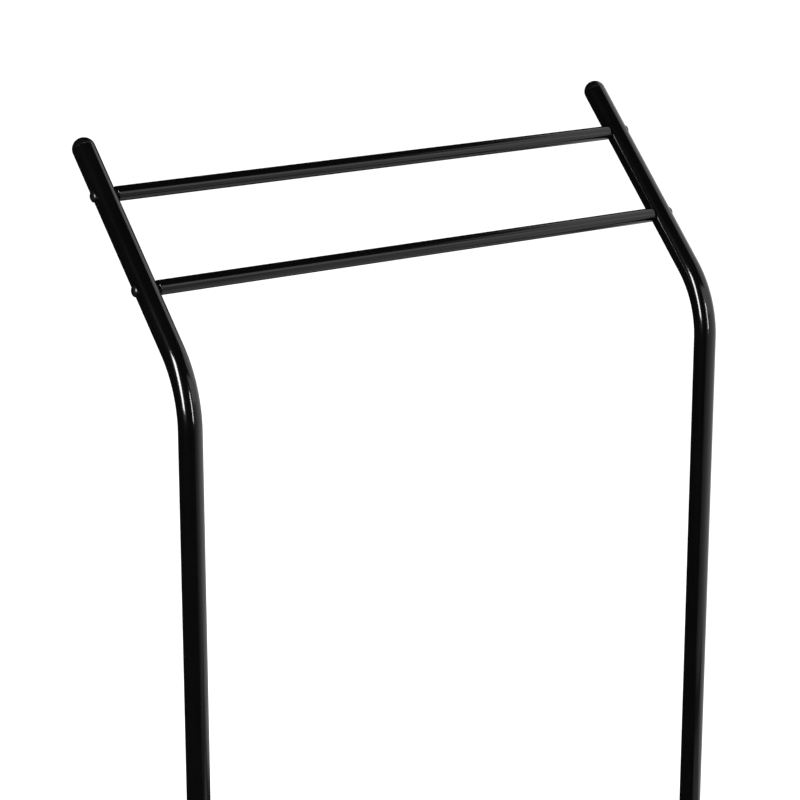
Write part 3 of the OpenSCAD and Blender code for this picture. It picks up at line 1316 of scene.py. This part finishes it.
@dataclass
class EndCaps(SubAssembly):
    """Domed plugs in the six open tube ends.

    Attributes:
        bevel: Bevel where the dome meets the tube, which leaves a fine dark seam.
        lead: Bevel at the skirt's end.
        skirt_len: Length of the skirt inside the tube.
        skirt_r: Outer radius of the skirt.
        skirt_wall: Wall of the skirt.
    """

    bevel: float = 0.6 * MM
    lead: float = 0.5 * MM
    skirt_len: float = 15 * MM
    skirt_r: float = 11.25 * MM
    skirt_wall: float = 1.5 * MM

    def build(self) -> Iterator[Piece]:
        """Build the two top caps and the four foot caps.

        Returns:
            The pieces, one by one.
        """
        lines = self.lines
        for side in Side:
            yield self.cap(f"{side.word}_top", lines.on_lean(side, lines.lean_len))
            for end in End:
                name = f"{side.word}_{end.word}_foot"
                low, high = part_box(f"{name}_cap")
                tip = high.y if end is End.REAR else low.y
                place = Vector(((low.x + high.x) / 2, tip - end.value * lines.tube_r, lines.foot_z))
                turned = Matrix.Rotation(-end.value * math.pi / 2, 4, "X")
                yield self.cap(name, Matrix.Translation(place) @ turned)

    def cap(self, name: str, placing: Matrix) -> Piece:
        """Build one cap.

        Args:
            name: The name of its tube end.
            placing: The place of the dome's flat face, with Z out of the tube.

        Returns:
            The cap.
        """
        r = self.lines.tube_r
        inner = self.skirt_r - self.skirt_wall
        rim = math.asin(self.bevel / r)
        dome = arc(r, math.pi / 2, rim, 20)
        dome[0] = (0.0, r)
        outline = [
            *dome,
            (r - self.bevel, 0.0),
            (self.skirt_r, 0.0),
            (self.skirt_r, self.lead - self.skirt_len),
            (self.skirt_r - self.lead, -self.skirt_len),
            (inner, -self.skirt_len),
            (inner, 0.0),
            (0.0, 0.0),
        ]
        mesh = self.shop.turn(outline, CAP_PLASTIC, closed=False)
        mesh.transform(placing)
        return dress(f"{name}_dome", mesh, CAP_PLASTIC, "frame", [f"{name}_cap"])


@dataclass
class LevellingFeet(SubAssembly):
    """Four levelling feet: a nylon pad on the floor, and a zinc stem with a hexagon and a thread.

    Attributes:
        cavity_r: Radius of the pad's cavity.
        neck_r: Radius of the opening above it.
        floor_h: Thickness of the pad under the cavity.
        cavity_h: Height of the cavity.
        pad_bevel: Width of the pad's sloping shoulder.
        head_r: Radius of the stem's round head.
        head_h: Height of that head.
        shank_r: Radius of the smooth shank, and of the thread's crests.
        root_r: Radius at the thread's roots.
        pitch: Pitch of the thread.
        hex_flats: Distance across the hexagon's flats.
        hex_z: Height of the hexagon's underside.
        hex_h: Height of the hexagon.
        soft: Rounding of the pad's small edges.
        tip: Bevel at the stem's upper end.
        relief: Depth of the groove between hexagon and thread.
        sink: How far that groove reaches down inside the hexagon.
        edge: Rounding of the round head's edges.
    """

    cavity_r: float = 7.05 * MM
    neck_r: float = 4.05 * MM
    floor_h: float = 2.0 * MM
    cavity_h: float = 3.1 * MM
    pad_bevel: float = 2.0 * MM
    head_r: float = 7.0 * MM
    head_h: float = 3.0 * MM
    shank_r: float = 4.0 * MM
    root_r: float = 3.4 * MM
    pitch: float = 1.25 * MM
    hex_flats: float = 13.0 * MM
    hex_z: float = 8.3 * MM
    hex_h: float = 5.0 * MM
    soft: float = 0.4 * MM
    tip: float = 0.7 * MM
    relief: float = 0.1 * MM
    sink: float = 1.0 * MM
    edge: float = 0.3 * MM

    def build(self) -> Iterator[Piece]:
        """Build a pad and a stem at each end of each foot.

        Returns:
            The pieces, one by one.
        """
        for side in Side:
            for end in End:
                corner = f"{side.word}_{end.word}"
                yield self.pad(corner)
                yield self.stem(corner)

    def pad(self, corner: str) -> Piece:
        """Build one pad with its cavity.

        Args:
            corner: The corner that it stands at.

        Returns:
            The pad.
        """
        low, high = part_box(f"{corner}_pad")
        r = (high.x - low.x) / 2
        top = high.z
        roof = self.floor_h + self.cavity_h
        corners = [
            (0.0, self.floor_h),
            (self.cavity_r, self.floor_h),
            (self.cavity_r, roof),
            (self.neck_r, roof),
            (self.neck_r, top),
            (r - self.pad_bevel, top),
            (r, top - self.pad_bevel),
            (r, 0.0),
            (0.0, 0.0),
        ]
        soft = self.soft
        radii = [0, 0, 0, 0, soft, 2 * soft, 2 * soft, soft, 0]
        mesh = self.shop.turn(soften(corners, radii, closed=False), PAD_PLASTIC, closed=False)
        middle = (low + high) / 2
        mesh.transform(Matrix.Translation((middle.x, middle.y, 0)))
        return dress(f"{corner}_levelling_pad", mesh, PAD_PLASTIC, f"{corner}_pad_body", [f"{corner}_pad"])

    def stem(self, corner: str) -> Piece:
        """Build one stem: turned core, hexagon and thread in one mesh.

        Args:
            corner: The corner that it stands at.

        Returns:
            The stem.
        """
        low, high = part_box(f"{corner}_stem")
        bottom = low.z
        hex_top = self.hex_z + self.hex_h
        groove = self.root_r - self.relief
        shoulder = hex_top - self.sink
        corners = [
            (0.0, high.z),
            (self.root_r - self.tip, high.z),
            (self.root_r, high.z - self.tip),
            (self.root_r, hex_top + self.pitch),
            (groove, hex_top + self.pitch / 2),
            (groove, shoulder),
            (self.shank_r, shoulder),
            (self.shank_r, bottom + self.head_h),
            (self.head_r, bottom + self.head_h),
            (self.head_r, bottom),
            (0.0, bottom),
        ]
        radii = [0, 0, 0, 0, 0, 0, 0, 0, self.edge, self.edge, 0]
        core = self.shop.turn(soften(corners, radii, closed=False), ZINC, closed=False)
        values = {
            "Pitch": self.pitch,
            "Root": self.root_r,
            "Crest": self.shank_r,
            "Start": hex_top + self.pitch,
            "Length": high.z - hex_top - 2 * self.pitch,
        }
        threaded = self.shop.threading.make(core, ZINC, values)
        mesh = joined([threaded, self.hexagon_head()])
        middle = (low + high) / 2
        mesh.transform(Matrix.Translation((middle.x, middle.y, 0)))
        return dress(f"{corner}_levelling_stem", mesh, ZINC, f"{corner}_stem_body", [f"{corner}_stem"])

    def hexagon_head(self) -> Mesh:
        """Build the hexagon, with its corners chamfered top and bottom.

        Returns:
            Its mesh.
        """
        corner_r = self.hex_flats / math.sqrt(3)
        cut = self.hex_flats / 2
        slope = 0.5
        heights = [0.0, (corner_r - cut) * slope]
        levels = [(self.hex_z + h, cut + h / slope) for h in heights]
        levels += [(self.hex_z + self.hex_h - h, cut + h / slope) for h in reversed(heights)]
        rings = [ring(hexagon(self.hex_flats, limit=limit), lambda r, z=z: z) for z, limit in levels]
        mesh = loft(rings)
        shade(mesh)
        return mesh


def joined(meshes: Sequence[Mesh]) -> Mesh:
    """Join meshes into one, and shade it.

    Args:
        meshes: The meshes, each left as it is.

    Returns:
        One mesh that holds their points and faces.
    """
    points: list[Vector] = []
    faces: list[tuple[int, ...]] = []
    for mesh in meshes:
        first = len(points)
        points += [v.co.copy() for v in mesh.vertices]
        faces += [tuple(first + i for i in p.vertices) for p in mesh.polygons]
    whole = bpy.data.meshes.new("joined")
    whole.from_pydata(points, [], faces)
    shade(whole)
    return whole


# ---- studio ----


@dataclass(frozen=True)
class Card:
    """A soft light panel.

    Attributes:
        name: Its name.
        centre: Where its middle stands.
        aim: The point it faces.
        width: Its level side.
        height: Its other side.
        radiance: How bright its surface looks.
    """

    name: str
    centre: tuple[float, float, float]
    aim: tuple[float, float, float]
    width: float
    height: float
    radiance: float

    def place(self) -> Piece:
        """Hang the panel in the scene.

        Returns:
            The light's object.
        """
        light = bpy.data.lights.new(self.name, "AREA")
        light.shape = "RECTANGLE"
        light.size = self.width
        light.size_y = self.height
        # a panel spreads its power over four times its area
        light.energy = self.radiance * 4 * self.width * self.height
        obj = bpy.data.objects.new(self.name, light)
        bpy.context.scene.collection.objects.link(obj)
        facing = Vector(self.aim) - Vector(self.centre)
        turned = facing.to_track_quat("-Z", "Y").to_matrix().to_4x4()
        obj.matrix_world = Matrix.Translation(self.centre) @ turned
        obj.visible_camera = False
        return obj


@dataclass
class Studio:
    """The pale floor, the soft lights and the camera.

    Attributes:
        floor_half: Half the side of the floor.
        ambience: Brightness of the white room, which glossy surfaces don't mirror.
        eye: The camera's place, from the middle of the two bends.
        yaw: The camera's turn to the right of +Y, in radians.
        pitch: Its tilt down, in radians.
        focal: Its focal length in millimetres, on a sensor 36 mm wide.
    """

    lines: CentreLines
    floor_half: float = 40.0
    ambience: float = 1.25
    eye: tuple[float, float, float] = (-1.578, -2.194, 0.697)
    yaw: float = 0.598
    pitch: float = 0.275
    focal: float = 117.7

    CARDS = (
        # a tent of diffusing cloth: the front brightens to the right, up to the bright side
        *(
            Card(f"front_{name}", (x, -1.1, 0.95), (x, 0, 0.95), width, 1.1, radiance)
            for name, x, width, radiance in (
                ("faint", 0.01, 0.28, 0.16),
                ("dim", 0.325, 0.35, 0.3),
                ("half", 0.675, 0.35, 0.45),
                ("full", 1.05, 0.4, 0.64),
            )
        ),
        # a dark gap 90 mm high parts the cloth at 0.35 m, and the rails mirror it
        Card("front_hem", (0.7, -1.1, 0.17), (0.7, 0, 0.17), 1.1, 0.28, 0.3),
        Card("front_box", (0.7, -1.1, 1.82), (0.7, 0, 1.82), 1.2, 0.64, 0.95),
        Card("right_side", (1.25, -0.15, 1.48), (0, -0.15, 1.48), 1.9, 2.64, 0.78),
        # the lit paper beside the frame, which the undersides mirror
        Card("paper", (0.78, -0.4, 0.01), (0.78, -0.4, 1.0), 0.94, 1.8, 0.42),
        # two bright strips, one at the left and one far in front of the rail, streak the bends
        Card("left_strip", (-2.31, -0.78, 2.05), (-0.3375, -0.06, 1.3), 0.56, 1.75, 22.0),
        Card("front_strip", (0.03, -4.06, 1.95), (0.0, -0.06, 1.25), 0.26, 1.9, 26.0),
    )

    def build(self) -> None:
        """Set up the whole studio."""
        self.floor()
        self.room()
        for card in self.CARDS:
            card.place()
        self.camera()
        bpy.context.scene.view_settings.view_transform = "Standard"

    def floor(self) -> None:
        """Lay the pale paper floor."""
        half = self.floor_half
        mesh = bpy.data.meshes.new("floor")
        corners = [(-half, -half, 0), (half, -half, 0), (half, half, 0), (-half, half, 0)]
        mesh.from_pydata(corners, [], [(0, 1, 2, 3)])
        paper = bpy.data.materials.new("matt_paper")
        paper.use_nodes = True
        shader = paper.node_tree.nodes["Principled BSDF"]
        shader.inputs["Base Color"].default_value = srgb("#f7f7f7")
        shader.inputs["Roughness"].default_value = 0.95
        mesh.materials.append(paper)
        obj = mesh_object("floor", mesh)
        obj.visible_glossy = False
        obj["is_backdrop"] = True

    def room(self) -> None:
        """Light the scene evenly, and leave the room dark in reflections."""
        world = bpy.data.worlds.new("studio")
        world.use_nodes = True
        tree = world.node_tree
        tree.nodes.clear()
        ray = add_node(tree, "ShaderNodeLightPath")
        shades = {"Factor": ray.outputs["Is Glossy Ray"], "A": (1, 1, 1, 1), "B": (0.01, 0.01, 0.01, 1)}
        seen = add_node(tree, "ShaderNodeMix", shades, data_type="RGBA")
        light = add_node(
            tree, "ShaderNodeBackground", {"Color": seen.outputs["Result"], "Strength": self.ambience}
        )
        add_node(tree, "ShaderNodeOutputWorld", {"Surface": light.outputs["Background"]})
        bpy.context.scene.world = world

    def camera(self) -> None:
        """Stand the camera in front, to the left and above the bends."""
        bends = Vector((0, self.lines.upright_y, self.lines.corner_z))
        lens = bpy.data.cameras.new("camera")
        lens.sensor_width = 36
        lens.lens = self.focal
        lens.clip_end = 100
        level = math.cos(self.pitch)
        view = Vector((math.sin(self.yaw) * level, math.cos(self.yaw) * level, -math.sin(self.pitch)))
        obj = bpy.data.objects.new("camera", lens)
        bpy.context.scene.collection.objects.link(obj)
        turned = view.to_track_quat("-Z", "Y").to_matrix().to_4x4()
        obj.matrix_world = Matrix.Translation(bends + Vector(self.eye)) @ turned
        bpy.context.scene.camera = obj


def write_sizes() -> None:
    """Gather the CAD box and the visual model's box as plain numbers, which nothing keeps."""
    boxes = {"cad": CAD_BOX, "visual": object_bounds()}
    plain = {name: [[float(v) for v in corner] for corner in box] for name, box in boxes.items()}


def main() -> None:
    """Build each sub-assembly in order, then the studio."""
    logging.basicConfig(level=logging.INFO, format="%(name)s: %(message)s")
    lines = CentreLines.from_frame()
    shop = Workshop()
    for kind in (Uprights, Feet, CrossRails, Fasteners, EndCaps, LevellingFeet):
        for piece in kind(lines, shop).build():
            log.info("%s %s, %d faces", kind.__name__, piece.name, len(piece.data.polygons))
    Studio(lines).build()
    write_sizes()


if __name__ == "__main__":
    main()
